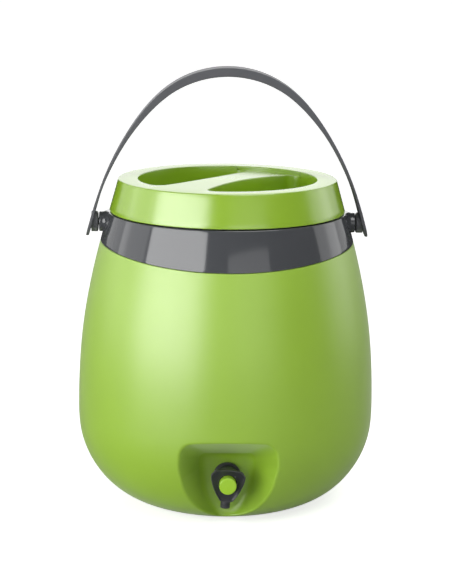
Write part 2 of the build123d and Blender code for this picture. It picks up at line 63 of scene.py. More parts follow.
# ---- curves ----
def smooth_curve(points, steps=400):
    """A cubic curve through the points with continuous curvature, sampled evenly by its parameter."""
    p = np.array(points, float)
    t = np.concatenate([[0], np.cumsum(np.linalg.norm(np.diff(p, axis=0), axis=1))])
    h, n = np.diff(t), len(p)
    secant = np.diff(p, axis=0) / h[:, None]
    rows, right = np.zeros((n, n)), np.zeros_like(p)
    rows[0, 0] = rows[-1, -1] = 1
    right[0] = secant[0] - (secant[1] - secant[0]) * h[0] / (h[0] + h[1])
    right[-1] = secant[-1] + (secant[-1] - secant[-2]) * h[-1] / (h[-1] + h[-2])
    for i in range(1, n - 1):
        rows[i, i - 1], rows[i, i], rows[i, i + 1] = h[i], 2 * (h[i - 1] + h[i]), h[i - 1]
        right[i] = 3 * (h[i] * secant[i - 1] + h[i - 1] * secant[i])
    slope = np.linalg.solve(rows, right)
    at = np.linspace(0, t[-1], steps)
    k = np.clip(np.searchsorted(t, at, side="right") - 1, 0, n - 2)
    u, w = ((at - t[k]) / h[k])[:, None], h[k][:, None]
    return ((1 + 2 * u) * (1 - u) ** 2 * p[k] + u * (1 - u) ** 2 * w * slope[k]
            + u * u * (3 - 2 * u) * p[k + 1] + u * u * (u - 1) * w * slope[k + 1])


side_curve = smooth_curve(SIDE)
side_length = np.concatenate([[0], np.cumsum(np.linalg.norm(np.diff(side_curve, axis=0), axis=1))])


def side_radius(z):
    """Radius of the body's side at a height."""
    return np.interp(z, side_curve[:, 1], side_curve[:, 0])


def side_at(s):
    """Radius and height at a distance along the side from the base."""
    return np.interp(s, side_length, side_curve[:, 0]), np.interp(s, side_length, side_curve[:, 1])


def side_distance(z):
    """Distance along the side from the base at a height."""
    return np.interp(z, side_curve[:, 1], side_length)


def wave(phi):
    """Height of the body's wavy upper edge at an angle round from the front."""
    x = side_radius(WAVE_LOW + 0.004) * math.sin(phi)
    return WAVE_LOW + WAVE_R - math.sqrt(WAVE_R ** 2 - x * x)


def on_side(phi, radius, z):
    """A point at an angle round from the front."""
    return (radius * math.sin(phi), -radius * math.cos(phi), z)


def arc(centre, radius, start, end, steps):
    """Points on an arc, its ends included, angles in degrees."""
    turns = [math.radians(start + (end - start) * i / steps) for i in range(steps + 1)]
    return [(centre[0] + radius * math.cos(a), centre[1] + radius * math.sin(a)) for a in turns]


# ---- meshes ----
class Skin:
    """Rings of points and the faces between them."""

    def __init__(self):
        self.points, self.faces = [], []

    def ring(self, points):
        start = len(self.points)
        self.points.extend(tuple(p) for p in points)
        return list(range(start, len(self.points)))

    def join(self, a, b, closed=True):
        count = len(a)
        for i in range(count if closed else count - 1):
            j = (i + 1) % count
            self.faces.append((a[i], a[j], b[j], b[i]))

    def chain(self, rings, closed=True):
        for a, b in zip(rings, rings[1:]):
            self.join(a, b, closed)

    def cap(self, ring):
        middle = self.ring([np.mean([self.points[i] for i in ring], axis=0)])[0]
        for i in range(len(ring)):
            self.faces.append((ring[i], ring[(i + 1) % len(ring)], middle))


def make_piece(name, skin, material, body, replaced=(), sharp=40, transform=None):
    """A mesh object from a skin, smooth shaded apart from its sharp edges, riding on a CAD body."""
    mesh = bpy.data.meshes.new(name)
    mesh.from_pydata([tuple(p) for p in skin.points], [], skin.faces)
    mesh.validate()
    piece = bpy.data.objects.new(name, mesh)
    bpy.context.scene.collection.objects.link(piece)
    if transform is not None:
        mesh.transform(transform)
    tidy_mesh(mesh, math.radians(sharp))
    mesh.materials.append(material)
    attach(piece, body)
    if replaced:
        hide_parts(*replaced)
    return piece


def tidy_mesh(mesh, sharp_angle):
    """Merge doubles, turn the faces outward and mark the sharp edges."""
    bm = bmesh.new()
    bm.from_mesh(mesh)
    bmesh.ops.remove_doubles(bm, verts=bm.verts, dist=1e-7)
    bmesh.ops.dissolve_degenerate(bm, edges=bm.edges, dist=1e-7)
    bmesh.ops.recalc_face_normals(bm, faces=bm.faces)
    for face in bm.faces:
        face.smooth = True
    for edge in bm.edges:
        edge.smooth = edge.is_manifold and edge.calc_face_angle(0) < sharp_angle
    bm.to_mesh(mesh)
    bm.free()


def lathe(profile, steps=96, closed=True, axis="Z"):
    """A turned skin from (radius, height) points."""
    skin, rings = Skin(), []
    for radius, height in profile:
        turns = [2 * math.pi * i / steps for i in range(steps)]
        if axis == "Z":
            points = [(radius * math.cos(a), radius * math.sin(a), height) for a in turns]
        elif axis == "X":
            points = [(height, radius * math.cos(a), radius * math.sin(a)) for a in turns]
        else:
            points = [(radius * math.cos(a), height, radius * math.sin(a)) for a in turns]
        rings.append(skin.ring(points if radius > 0 else points[:1] * steps))
    skin.chain(rings + rings[:1] if closed else rings)
    return skin


def rounded_corners(points, radii, steps=5):
    """A closed outline whose corners are eased: each corner gets its own reach along both sides."""
    out, count = [], len(points)
    for i, (corner, reach) in enumerate(zip(points, radii)):
        here = np.array(corner, float)
        before, after = np.array(points[i - 1], float), np.array(points[(i + 1) % count], float)
        if reach <= 0:
            out.append(tuple(here))
            continue
        a = here + (before - here) / np.linalg.norm(before - here) * reach
        b = here + (after - here) / np.linalg.norm(after - here) * reach
        for k in range(steps + 1):
            u = k / steps
            out.append(tuple((1 - u) ** 2 * a + 2 * u * (1 - u) * here + u * u * b))
    return out


# ---- materials ----
def node(tree, kind, **inputs):
    made = tree.nodes.new(kind)
    for key, value in inputs.items():
        if key in made.inputs:
            made.inputs[key].default_value = value
        else:
            setattr(made, key, value)
    return made


def plastic(name, colour, shade, roughness, spread=0.05, grain=2600.0, grain_depth=0.02,
            swell=28.0, swell_depth=0.012, worn=None, worn_share=0.0, specular=0.5, ior=1.5,
            sheen=0.0):
    """Moulded plastic: two close tones, a fine surface grain, a faint long swell and an uneven gloss."""
    material = bpy.data.materials.new(name)
    material.use_nodes = True
    tree = material.node_tree
    shader = tree.nodes["Principled BSDF"]
    shader.inputs["Specular IOR Level"].default_value = specular
    shader.inputs["IOR"].default_value = ior
    shader.inputs["Sheen Weight"].default_value = sheen
    shader.inputs["Sheen Roughness"].default_value = 0.4
    place = node(tree, "ShaderNodeTexCoord")
    tone_noise = node(tree, "ShaderNodeTexNoise", Scale=17.0, Detail=5.0, Roughness=0.55)
    tree.links.new(place.outputs["Object"], tone_noise.inputs["Vector"])
    ramp = tree.nodes.new("ShaderNodeValToRGB")
    ramp.color_ramp.elements[0].position, ramp.color_ramp.elements[1].position = 0.3, 0.7
    ramp.color_ramp.elements[0].color = (*shade, 1)
    ramp.color_ramp.elements[1].color = (*colour, 1)
    tree.links.new(tone_noise.outputs["Fac"], ramp.inputs["Fac"])
    paint = ramp.outputs["Color"]
    if worn:
        geometry_node = tree.nodes.new("ShaderNodeNewGeometry")
        edge = tree.nodes.new("ShaderNodeMapRange")
        edge.inputs["From Min"].default_value, edge.inputs["From Max"].default_value = 0.515, 0.60
        edge.inputs["To Max"].default_value = worn_share
        tree.links.new(geometry_node.outputs["Pointiness"], edge.inputs["Value"])
        mix = tree.nodes.new("ShaderNodeMix")
        mix.data_type = "RGBA"
        mix.inputs["B"].default_value = (*worn, 1)
        tree.links.new(edge.outputs["Result"], mix.inputs["Factor"])
        tree.links.new(paint, mix.inputs["A"])
        paint = mix.outputs["Result"]
    tree.links.new(paint, shader.inputs["Base Color"])
    gloss_noise = node(tree, "ShaderNodeTexNoise", Scale=95.0, Detail=6.0, Roughness=0.6)
    tree.links.new(place.outputs["Object"], gloss_noise.inputs["Vector"])
    gloss = tree.nodes.new("ShaderNodeMapRange")
    gloss.inputs["To Min"].default_value = roughness - spread
    gloss.inputs["To Max"].default_value = roughness + spread
    tree.links.new(gloss_noise.outputs["Fac"], gloss.inputs["Value"])
    tree.links.new(gloss.outputs["Result"], shader.inputs["Roughness"])
    fine = node(tree, "ShaderNodeTexNoise", Scale=grain, Detail=3.0, Roughness=0.5)
    long = node(tree, "ShaderNodeTexNoise", Scale=swell, Detail=2.0, Roughness=0.4)
    tree.links.new(place.outputs["Object"], fine.inputs["Vector"])
    tree.links.new(place.outputs["Object"], long.inputs["Vector"])
    fine_bump = node(tree, "ShaderNodeBump", Strength=grain_depth, Distance=0.0002)
    long_bump = node(tree, "ShaderNodeBump", Strength=swell_depth, Distance=0.002)
    tree.links.new(long.outputs["Fac"], long_bump.inputs["Height"])
    tree.links.new(fine.outputs["Fac"], fine_bump.inputs["Height"])
    tree.links.new(long_bump.outputs["Normal"], fine_bump.inputs["Normal"])
    tree.links.new(fine_bump.outputs["Normal"], shader.inputs["Normal"])
    return material


def foam_material(name, colour, shade):
    """Rigid foam: closed cells under a thin skin."""
    material = plastic(name, colour, shade, 0.85, grain=900.0, grain_depth=0.4, swell=120.0, swell_depth=0.2)
    tree = material.node_tree
    cells = node(tree, "ShaderNodeTexVoronoi", Scale=1400.0)
    place = [n for n in tree.nodes if n.bl_idname == "ShaderNodeTexCoord"][0]
    tree.links.new(place.outputs["Object"], cells.inputs["Vector"])
    bump = node(tree, "ShaderNodeBump", Strength=0.5, Distance=0.0003)
    tree.links.new(cells.outputs["Distance"], bump.inputs["Height"])
    shader = tree.nodes["Principled BSDF"]
    tree.links.new(shader.inputs["Normal"].links[0].from_socket, bump.inputs["Normal"])
    tree.links.new(bump.outputs["Normal"], shader.inputs["Normal"])
    return material


def steel_material():
    """Drawn spring wire: bright steel with a fine surface grain."""
    material = plastic("drawn_steel", (0.62, 0.62, 0.60), (0.50, 0.50, 0.49), 0.25, grain=4000.0,
                       grain_depth=0.15)
    material.node_tree.nodes["Principled BSDF"].inputs["Metallic"].default_value = 1.0
    return material


GREEN, GREEN_SHADE = (0.300, 0.518, 0.014), (0.288, 0.498, 0.012)
# The lid's two tones are the body's green made about a tenth darker: painted shade that takes down the
# strong light falling on the lid's top.
SHADED_LID_GREEN, SHADED_LID_TONE = (0.272, 0.468, 0.014), (0.262, 0.452, 0.012)
body_green = plastic("satin_green", GREEN, GREEN_SHADE, 0.38, spread=0.03, grain=2600.0, grain_depth=0.10,
                     specular=1.0, ior=1.7, sheen=0.35)
lid_green = plastic("shaded_gloss_green", SHADED_LID_GREEN, SHADED_LID_TONE, 0.24, spread=0.03, grain=1200.0, grain_depth=0.02,
                    worn=(0.40, 0.62, 0.10), worn_share=0.35, specular=1.0, ior=1.72)
button_green = plastic("button_green", (0.37, 0.62, 0.06), GREEN, 0.22, spread=0.04, grain=2200.0,
                       grain_depth=0.06)
collar_grey = plastic("gloss_grey", (0.062, 0.065, 0.071), (0.056, 0.059, 0.065), 0.09, spread=0.03,
                      grain=1200.0, grain_depth=0.01, worn=(0.16, 0.17, 0.18), worn_share=0.4, specular=0.92)
bail_grey = plastic("satin_grey", (0.088, 0.090, 0.100), (0.078, 0.080, 0.090), 0.46, spread=0.05,
                    grain=1800.0, grain_depth=0.25, worn=(0.22, 0.22, 0.24), worn_share=0.5)
tap_grey = plastic("tap_grey", (0.031, 0.032, 0.037), (0.024, 0.025, 0.030), 0.32, spread=0.06,
                   grain=2400.0, grain_depth=0.12, worn=(0.22, 0.22, 0.24), worn_share=0.7)
pin_grey = plastic("pin_grey", (0.06, 0.06, 0.07), (0.05, 0.05, 0.06), 0.35)
liner_white = plastic("liner_white", (0.80, 0.80, 0.78), (0.76, 0.76, 0.74), 0.3, grain=1500.0)
rubber = plastic("rubber_dark", (0.022, 0.022, 0.024), (0.016, 0.016, 0.018), 0.6, grain=1600.0,
                 grain_depth=0.35, specular=0.35)
seal_clear = plastic("seal_clear", (0.66, 0.68, 0.66), (0.58, 0.60, 0.58), 0.4, grain=1600.0)
foam = foam_material("insulating_foam", (0.82, 0.76, 0.52), (0.72, 0.66, 0.44))
steel = steel_material()
SLOT_MATERIALS = {
    "body_green": body_green, "lid_green": lid_green, "collar_grey": collar_grey, "bail_grey": bail_grey,
    "liner_white": liner_white, "foam": foam, "tap_grey": tap_grey, "button_green": button_green,
    "rubber_dark": rubber, "seal_clear": seal_clear, "steel": steel, "pin_grey": pin_grey,
}


def paint_cad_nodes():
    """Give every carried-over CAD node the finish of its own slot."""
    for name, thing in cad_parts.items():
        slots = [slot.material.name.split(".")[0] for slot in thing.material_slots if slot.material]
        finish = next((SLOT_MATERIALS[s] for s in slots if s in SLOT_MATERIALS), None)
        if finish is None:
            print("no finish for", name, slots)
            finish = tap_grey
        thing.data.materials.clear()
        thing.data.materials.append(finish)


# ---- the body with its tap niche ----
FRONT_HALF = math.radians(22.5)
FRONT_STEPS, REST_STEPS = 48, 144
PATCH_LOW, PATCH_HIGH_Z, PATCH_ROWS = 0.003, 0.1015, 60
NICHE_BEND = math.pi / 2 - math.atan(NICHE_FLARE)
NICHE_START = -NICHE_FILLET * math.tan(NICHE_BEND / 2)
UPPER_ROWS = 56


def niche_outline(spread, corner, angles):
    """Distances from the tap's axis to the niche's section at the given angles."""
    half, top = NICHE_HALF + spread, NICHE_TOP + spread
    low = [(half * math.cos(a), NICHE_MID_Z + (NICHE_DROP + spread) * math.sin(a))
           for a in np.linspace(math.pi, 2 * math.pi, 181)]
    right = arc((half - corner, top - corner), corner, 0, 90, 24)
    left = arc((corner - half, top - corner), corner, 90, 180, 24)
    across = [(x, top) for x in np.linspace(half - corner, corner - half, 60)[1:-1]]
    outline = np.array(low + right + across + left)
    turn = np.arctan2(outline[:, 1] - TAP_Z, outline[:, 0])
    reach = np.hypot(outline[:, 0], outline[:, 1] - TAP_Z)
    order = np.argsort(turn)
    turn, reach = turn[order], reach[order]
    return np.interp(angles, turn, reach, period=2 * math.pi)


def niche_reach(forward, angles):
    """Distances from the tap's axis to the niche's wall at distances forward of its flat back."""
    bend_end = NICHE_FILLET * (1 - math.cos(NICHE_BEND))
    result = []
    for f, angle in zip(forward, angles):
        if f < bend_end:
            spread = NICHE_START + math.sqrt(NICHE_FILLET ** 2 - (NICHE_FILLET - f) ** 2)
            corner = NICHE_CORNER
        else:
            spread = NICHE_FLARE * f
            share = (f - bend_end) / (NICHE_DEPTH - bend_end)
            corner = NICHE_CORNER + (NICHE_MOUTH_CORNER - NICHE_CORNER) * share
        result.append(niche_outline(spread, corner, np.array([angle]))[0])
    return np.array(result)


def niche_points(forward, reach, angles):
    return np.stack([reach * np.cos(angles), np.full_like(angles, 0) + NICHE_Y - forward,
                     TAP_Z + reach * np.sin(angles)], axis=1)


def mouth_forward(angles):
    """For each angle, how far forward the niche's wall meets the body's side."""
    low, high = np.full_like(angles, 0.0002), np.full_like(angles, NICHE_DEPTH)
    for _ in range(24):
        middle = (low + high) / 2
        reach = niche_reach(middle, angles)
        x, z = reach * np.cos(angles), TAP_Z + reach * np.sin(angles)
        inside = (z > SIDE[0][1]) & (np.hypot(x, NICHE_Y - middle) < side_radius(z))
        low, high = np.where(inside, middle, low), np.where(inside, high, middle)
    return low


def surface_point(phi, s):
    radius, z = side_at(s)
    return np.stack([radius * np.sin(phi), -radius * np.cos(phi), z], axis=1)


def make_shell():
    skin = Skin()
    front = [-FRONT_HALF + 2 * FRONT_HALF * i / FRONT_STEPS for i in range(FRONT_STEPS + 1)]
    rest = [FRONT_HALF + (2 * math.pi - 2 * FRONT_HALF) * i / REST_STEPS for i in range(1, REST_STEPS)]
    columns = front + rest
    patch_high = side_distance(PATCH_HIGH_Z)
    tops = [side_distance(wave(phi)) - 0.0004 for phi in columns]
    rows = []
    for s in (0.0, PATCH_LOW / 2):
        rows.append(skin.ring([on_side(phi, *side_at(s)) for phi in columns]))
    for j in range(PATCH_ROWS + 1):
        s = PATCH_LOW + (patch_high - PATCH_LOW) * j / PATCH_ROWS
        rows.append(skin.ring([on_side(phi, *side_at(s)) for phi in columns]))
    for j in range(1, UPPER_ROWS + 1):
        share = j / UPPER_ROWS
        rows.append(skin.ring([on_side(phi, *side_at(patch_high + (top - patch_high) * share))
                               for phi, top in zip(columns, tops)]))
    edge = [(0.00008, 0.00025), (0.0004, 0.0004), (LEDGE, 0.0004)]
    for inward, up in edge:
        rows.append(skin.ring([on_side(phi, side_at(top)[0] - inward, side_at(top)[1] + up)
                               for phi, top in zip(columns, tops)]))
    for z in np.linspace(0.262, NECK_TOP, 3):
        rows.append(skin.ring([on_side(phi, side_radius(z) - LEDGE, z) for phi in columns]))
    first = 2
    for j, (a, b) in enumerate(zip(rows, rows[1:])):
        for i in range(len(columns)):
            if first <= j < first + PATCH_ROWS and i < FRONT_STEPS:
                continue
            k = (i + 1) % len(columns)
            skin.faces.append((a[i], a[k], b[k], b[i]))
    bottom = [skin.ring([on_side(phi, r, z) for phi in columns])
              for r, z in ((0.0862, 0.0011), (0.0842, SIDE[0][1] - 0.0004), (BASE_HOLE_R + 0.0006, 0.0011),
                           (BASE_HOLE_R, 0.0017), (BASE_HOLE_R, 0.0046))]
    skin.chain([rows[0]] + bottom)
    add_niche(skin, rows[first:first + PATCH_ROWS + 1], front)
    return skin


def add_niche(skin, rows, front):
    """Fill the opening left in the front with rings that run from the body's side down to the tap's hole."""
    border = rows[0][:FRONT_STEPS] + [row[FRONT_STEPS] for row in rows[:-1]]
    border += rows[-1][FRONT_STEPS:0:-1] + [row[0] for row in rows[:0:-1]]
    outer = np.array([skin.points[i] for i in border])
    angles = np.arctan2(outer[:, 2] - TAP_Z, outer[:, 0])
    outer_phi = np.arctan2(outer[:, 0], -outer[:, 1])
    outer_s = side_distance(outer[:, 2])
    forward = mouth_forward(angles)
    mouth = niche_points(forward, niche_reach(forward, angles), angles)
    mouth_phi = np.arctan2(mouth[:, 0], -mouth[:, 1])
    mouth_s = side_distance(mouth[:, 2])
    ease = 0.0026 - 0.0009 * np.clip(np.sin(angles), 0, 1) ** 4
    gap = np.linalg.norm(outer - mouth, axis=1)
    ease_share = np.minimum(ease / gap, 0.45)
    rings = [border]
    for share in np.linspace(1, 0, 9)[1:]:
        w = ease_share + (1 - ease_share) * share
        phi, s = mouth_phi + (outer_phi - mouth_phi) * w, mouth_s + (outer_s - mouth_s) * w
        rings.append(skin.ring(surface_point(phi, s)))
    on_body = np.array([skin.points[i] for i in rings[-1]])
    back_off = np.maximum(forward - ease * 0.9, forward * 0.55)
    on_wall = niche_points(back_off, niche_reach(back_off, angles), angles)
    for k in range(1, 8):
        u = k / 8
        rings.append(skin.ring((1 - u) ** 2 * on_body + 2 * u * (1 - u) * mouth + u * u * on_wall))
    rings.append(skin.ring(on_wall))
    for share in np.linspace(1, 0, 21)[1:]:
        depth = back_off * share ** 1.6
        rings.append(skin.ring(niche_points(depth, niche_reach(depth, angles), angles)))
    back = niche_outline(NICHE_START, NICHE_CORNER, angles)
    for share in np.linspace(1, 0, 8)[1:]:
        rings.append(skin.ring(niche_points(0, TAP_HOLE_R + (back - TAP_HOLE_R) * share, angles)))
    skin.chain(rings)


def thicken(piece, wall):
    """Give an open skin its wall, inward."""
    solid = piece.modifiers.new("wall", "SOLIDIFY")
    solid.thickness, solid.offset, solid.use_even_offset = wall, -1, False


# ---- the collar ----
COLLAR_COLUMNS, COLLAR_ROWS = 240, 20


def make_collar():
    skin, rings = Skin(), []
    turns = [2 * math.pi * i / COLLAR_COLUMNS for i in range(COLLAR_COLUMNS)]
    low = [wave(phi) + SEAM for phi in turns]

    def ring(inward, heights):
        rings.append(skin.ring([on_side(phi, side_radius(z) - inward, z) for phi, z in zip(turns, heights)]))

    ring(COLLAR_WALL, low)
    for inward, up in ((0.0008, 0.0), (0.00035, 0.00008), (0.00008, 0.0003), (0.0, 0.0007)):
        ring(inward, [z + up for z in low])
    for j in range(1, COLLAR_ROWS + 1):
        ring(0.0, [z + 0.0007 + (COLLAR_TOP - 0.0014 - z) * j / COLLAR_ROWS for z in low])
    edge_r = side_radius(COLLAR_TOP - 0.0007)
    for inward, z in ((0.00015, -0.0003), (0.0004, -0.0001), (0.0009, 0.0)):
        rings.append(skin.ring([on_side(phi, edge_r - inward, COLLAR_TOP + z) for phi in turns]))
    for radius, z in ((COLLAR_INNER_R + 0.0009, 0.0), (COLLAR_INNER_R + 0.0003, -0.0002),
                      (COLLAR_INNER_R, -0.0008), (COLLAR_INNER_R, -0.0029), (0.1126, -0.0029)):
        rings.append(skin.ring([on_side(phi, radius, COLLAR_TOP + z) for phi in turns]))
    ring(COLLAR_WALL, [COLLAR_TOP - 0.0030] * COLLAR_COLUMNS)
    skin.chain(rings + rings[:1])
    return skin


def make_boss(side):
    """A pivot boss with its flared root and the bore for the pin."""
    profile = [(0.00356, 0.1140), (0.0150, 0.1140)]
    profile += [(0.00975 + 0.0048 * (1 - k / 8) ** 2.2, 0.1158 + 0.0062 * k / 8) for k in range(9)]
    profile += [(0.00975, 0.1241), (0.00962, 0.1246), (0.0092, 0.12492), (0.0087, 0.125)]
    profile += [(0.0042, 0.125), (0.00356, 0.1246)]
    skin = lathe(profile, 96, axis="X")
    skin.points = [(side * x, y, min(PIVOT_Z + z, COLLAR_TOP - 0.0002)) for x, y, z in skin.points]
    return skin


# ---- the lid ----
LIP, STEEP = 0.0009, 0.00002   # ease of the lid's inner edges, and the lean of the wall above the grip's end
FLOOR_FILLET, RIM_EASE, EASE_STEPS = 0.0022, 0.0012, 5
ON_WELL = 1e-7                 # a point nearer than this to the well's wall is on it


def pocket_ring(grow, side):
    """The outline of a finger pocket moved outward: a well arc and a grip arc with eased corners."""
    well, grip = WELL_R + grow, GRIP_ARC_R + grow
    corner = POCKET_CORNER + grow
    centre = GRIP_HALF + GRIP_ARC_R
    a, b = well - corner, grip - corner
    y = (a * a - b * b + centre * centre) / (2 * centre)
    x = math.sqrt(a * a - y * y)
    well_start = math.atan2(y, x)
    grip_start = math.atan2(y - centre, x)
    points = []
    for k in range(96):
        turn = well_start + (math.pi - 2 * well_start) * k / 96
        points.append((well * math.cos(turn), well * math.sin(turn)))
    left_well, left_grip = math.pi - well_start, -math.pi - grip_start
    left_grip_turn = left_grip % (2 * math.pi)
    for k in range(24):
        turn = left_well + (left_grip_turn - left_well) * k / 24
        points.append((-x + corner * math.cos(turn), y + corner * math.sin(turn)))
    for k in range(72):
        turn = left_grip_turn + (grip_start % (2 * math.pi) - left_grip_turn) * k / 72
        points.append((grip * math.cos(turn), centre + grip * math.sin(turn)))
    for k in range(24):
        turn = grip_start + (well_start - grip_start) * k / 24
        points.append((x + corner * math.cos(turn), y + corner * math.sin(turn)))
    return [(px, side * py) for px, py in points]


def grip_fall(x):
    """How far the grip has fallen below the rim, along its length."""
    return GRIP_DROP * min(max((x - GRIP_FLAT_END) / (GRIP_FAR_END - GRIP_FLAT_END), 0), 1) ** 2


def lid_height(x, y):
    """Height of the lid's top: flat, with an eased lip and a steep wall round the grip's falling far end."""
    fall, radius = grip_fall(x), math.hypot(x, y)
    over_lip = min(max(WELL_R + LIP - radius, 0), LIP)
    eased = min(fall, LIP - math.sqrt(LIP ** 2 - over_lip ** 2))
    inside = min(max((WELL_R - radius) / STEEP, 0), 1)
    return LID_TOP - eased - (fall - eased) * inside


def turned_grip(x, y, z):
    c, s = math.cos(GRIP_TURN), math.sin(GRIP_TURN)
    return (x * c - y * s, x * s + y * c, z)


def make_lid():
    skin = Skin()
    loops = []
    for side in (1, -1):
        rings = []
        wall, outer = pocket_ring(0, side), pocket_ring(LIP, side)
        for k in range(EASE_STEPS + 1):
            a = math.pi / 2 * k / EASE_STEPS
            ring = []
            for (x, y), (lip_x, lip_y) in zip(wall, outer):
                room = WELL_R - math.hypot(x, y)
                fall = grip_fall(x) if room > ON_WELL else 0
                share = min(1, room / LIP) if fall > 0 else 1
                out = share * (1 - math.sin(a))
                ring.append((x + (lip_x - x) * out, y + (lip_y - y) * out,
                             LID_TOP - fall - LIP * share * (1 - math.cos(a))))
            rings.append(ring)
        upper = rings[-1]
        for share in (0.35, 0.7):
            rings.append([(x, y, top[2] + (WELL_FLOOR + FLOOR_FILLET - top[2]) * share)
                          for (x, y), top in zip(wall, upper)])
        for k in range(EASE_STEPS + 1):
            a = math.pi / 2 * k / EASE_STEPS
            rings.append([(x, y, WELL_FLOOR + FLOOR_FILLET * (1 - math.sin(a)))
                          for x, y in pocket_ring(-FLOOR_FILLET * (1 - math.cos(a)), side)])
        ids = [skin.ring([turned_grip(*p) for p in ring]) for ring in rings]
        skin.chain(ids)
        skin.cap(ids[-1])
        loops.append((ids[0], rings[0]))
    steps = 240
    turns = [2 * math.pi * i / steps for i in range(steps)]
    profile = [(LID_TOP_R - RIM_EASE + RIM_EASE * math.sin(a), LID_TOP - RIM_EASE + RIM_EASE * math.cos(a))
               for a in np.linspace(0, math.pi / 2 - 0.27, 7)]
    low_edge = LID_LOW + 0.0007
    slope = (LID_LOW_R - profile[-1][0]) / (profile[-1][1] - LID_LOW)
    top_r, top_z = profile[-1]
    for share in np.linspace(0, 1, 8)[1:]:
        z = top_z + (low_edge - top_z) * share
        profile.append((top_r + slope * (top_z - z), z))
    edge_r = profile[-1][0]
    profile += [(edge_r - 0.0001, LID_LOW + 0.0003), (edge_r - 0.0004, LID_LOW + 0.0001),
                (edge_r - 0.0008, LID_LOW), (LID_SOLE_R, LID_LOW), (LID_SOLE_R, LID_SOLE)]
    rings = [skin.ring([(r * math.cos(t), r * math.sin(t), z) for t in turns]) for r, z in profile]
    skin.chain(rings)
    skin.cap(rings[-1])
    fill_lid_top(skin, rings[0], turns, loops)
    return skin


def fill_lid_top(skin, rim, turns, loops):
    """Join the rim and the two pocket lips with a triangulated top that follows lid_height."""
    points, edges, owners = [], [], []

    def add_loop(ids, flat):
        start = len(points)
        points.extend(Vector(p) for p in flat)
        owners.extend(ids)
        count = len(ids)
        edges.extend((start + i, start + (i + 1) % count) for i in range(count))

    c, s = math.cos(-GRIP_TURN), math.sin(-GRIP_TURN)
    rim_flat = [(x * c - y * s, x * s + y * c) for x, y, z in (skin.points[i] for i in rim)]
    add_loop(rim, rim_flat)
    for ids, ring in loops:
        add_loop(ids, [(x, y) for x, y, z in ring])
    centre = GRIP_HALF + GRIP_ARC_R
    for along in np.arange(-0.078, 0.0871, 0.003):
        limit = centre - math.sqrt((GRIP_ARC_R + 0.0012) ** 2 - along * along) - 0.001
        for across in np.linspace(-limit, limit, 9):
            if math.hypot(along, across) < WELL_R - 0.0012:
                points.append(Vector((along, across)))
                owners.append(None)
    end_x, end_y, _ = loops[0][1][-1]
    reach = math.atan2(abs(end_y), end_x) - 0.0006
    wall = [WELL_R - STEEP * share for share in (1.0, 0.93, 0.07, 0.0)]
    lip = [WELL_R + LIP * share for share in (0.03, 0.14, 0.32, 0.62, 1.0, 1.4)]
    for radius in [WELL_R - 0.0010, WELL_R - 0.0003] + wall + lip:
        previous = None
        for turn in np.linspace(-reach, reach, 60):
            x, y = radius * math.cos(turn), radius * math.sin(turn)
            if any(inside_outline((x, y), [(p[0], p[1]) for p in ring]) for _, ring in loops):
                previous = None
                continue
            points.append(Vector((x, y)))
            owners.append(None)
            if previous is not None:
                edges.append((previous, len(points) - 1))
            previous = len(points) - 1
    made, _, faces, vertex_from, _, _ = geometry.delaunay_2d_cdt(points, edges, [], 0, 1e-7, True)
    ids = []
    for p, sources in zip(made, vertex_from):
        owner = next((owners[k] for k in sources if k < len(owners) and owners[k] is not None), None)
        if owner is None:
            owner = skin.ring([turned_grip(p.x, p.y, lid_height(p.x, p.y))])[0]
        ids.append(owner)
    hollow = [[(p[0], p[1]) for p in ring] for _, ring in loops]
    for face in faces:
        middle = sum((made[i] for i in face), Vector((0, 0))) / len(face)
        if middle.length > LID_TOP_R or any(inside_outline(middle, ring) for ring in hollow):
            continue
        skin.faces.append(tuple(ids[i] for i in face))


def inside_outline(point, outline):
    """Whether a flat point lies inside a closed outline."""
    inside, count = False, len(outline)
    for i in range(count):
        (x1, y1), (x2, y2) = outline[i], outline[(i + 1) % count]
        if (y1 > point[1]) != (y2 > point[1]) and point[0] < x1 + (point[1] - y1) * (x2 - x1) / (y2 - y1):
            inside = not inside
    return inside


# ---- the tap ----
def tap_place():
    return Matrix.Translation((0, 0, TAP_Z)) @ Matrix.Rotation(TAP_TURN, 4, "Y")


def make_tap_barrel():
    """Shank, sealing flange and barrel in one turned moulding, bored for the stem and the button."""
    profile = [(0.0050, -0.0730), (0.0068, -0.0730), (0.0070, -0.0733), (0.0070, -0.0970), (0.0129, -0.0970),
               (0.0132, -0.0973), (0.0132, -0.0991)]
    profile += [(0.0123 + 0.0009 * math.cos(a), -0.0991 - 0.0009 * math.sin(a))
                for a in np.linspace(0.2, math.pi / 2, 6)]
    profile += [(0.0114 - 0.0008 * math.sin(a), -0.1008 + 0.0008 * math.cos(a))
                for a in np.linspace(0, math.pi / 2, 5)]
    profile += [(0.0106, -0.1230), (0.0089, -0.1230), (0.0089, -0.1175), (0.0050, -0.1175)]
    return lathe(profile, 96, axis="Y")


def plate_outline():
    """The finger plate: an arched top, swept wings and a narrow foot."""
    wing = smooth_curve([(0.0163, 0.0080), (0.0157, 0.0032), (0.0142, -0.0020), (0.0120, -0.0072),
                         (0.0096, -0.0115), (0.0073, -0.0148), (0.0060, -0.0170)], 30)
    top = [(x, 0.0138 - 0.0013 * (x / 0.0125) ** 2) for x in np.linspace(-0.0125, 0.0125, 24)]
    right = [tuple(p) for p in wing]
    left = [(-x, z) for x, z in reversed(right)]
    points = top + right + left
    right_end = len(top) + len(right)
    eased = {0, len(top) - 1, len(top), right_end - 1, right_end, len(points) - 1}
    return points, [0.0006 if i in eased else 0 for i in range(len(points))]


